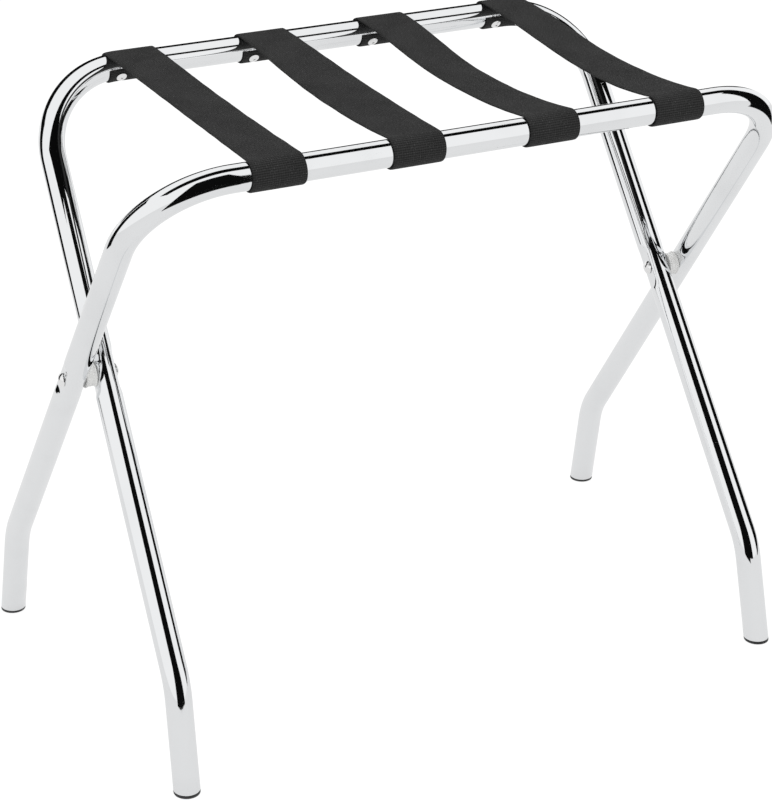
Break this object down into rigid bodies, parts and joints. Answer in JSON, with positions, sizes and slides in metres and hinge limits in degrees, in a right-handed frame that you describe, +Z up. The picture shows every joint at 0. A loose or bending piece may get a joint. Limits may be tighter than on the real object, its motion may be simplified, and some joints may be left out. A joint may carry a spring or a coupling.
{
  "type": "folding luggage rack",
  "caption": "Folding luggage rack with two crossed U-shaped chromed tube frames, pivoting on rivets, joined at the top by dark webbing straps.",
  "frame": {"origin": "on the floor, under the middle of the pivot axis, at the centre of the footprint", "axes": "+X along the two rails and the pivot axis, +Y from the outer frame's rail (front) to the inner frame's rail (rear), +Z up"},
  "size_m": [0.6322, 0.3788, 0.5233],
  "materials": {
    "tube_chrome": "mirror-bright chrome plating",
    "rivet_chrome": "bright chrome rivet",
    "strap_webbing": "charcoal black woven webbing",
    "foot_plastic": "matt black moulded plastic",
    "spacer_nylon": "translucent pale nylon"
  },
  "bodies": {
    "outer_frame": {"outer_frame_tube": "tube_chrome", "outer_foot_plug_left": "foot_plastic", "outer_foot_plug_right": "foot_plastic", "pivot_rivet_left": "rivet_chrome", "pivot_rivet_right": "rivet_chrome", "pivot_spacer_left": "spacer_nylon", "pivot_spacer_right": "spacer_nylon", "strap_1": "strap_webbing", "strap_2": "strap_webbing", "strap_3": "strap_webbing", "strap_4": "strap_webbing", "strap_1_front_rivets": "rivet_chrome", "strap_2_front_rivets": "rivet_chrome", "strap_3_front_rivets": "rivet_chrome", "strap_4_front_rivets": "rivet_chrome"},
    "inner_frame": {"inner_frame_tube": "tube_chrome", "inner_foot_plug_left": "foot_plastic", "inner_foot_plug_right": "foot_plastic", "strap_1_rear_rivets": "rivet_chrome", "strap_2_rear_rivets": "rivet_chrome", "strap_3_rear_rivets": "rivet_chrome", "strap_4_rear_rivets": "rivet_chrome"}
  },
  "joints": [
    {"name": "fold", "type": "hinge", "parent": "outer_frame", "child": "inner_frame", "pos_m": [0, 0, 0.30152], "axis": [1, 0, 0], "range_deg": [0, 67], "deforming": ["strap_1", "strap_2", "strap_3", "strap_4"]}
  ]
}
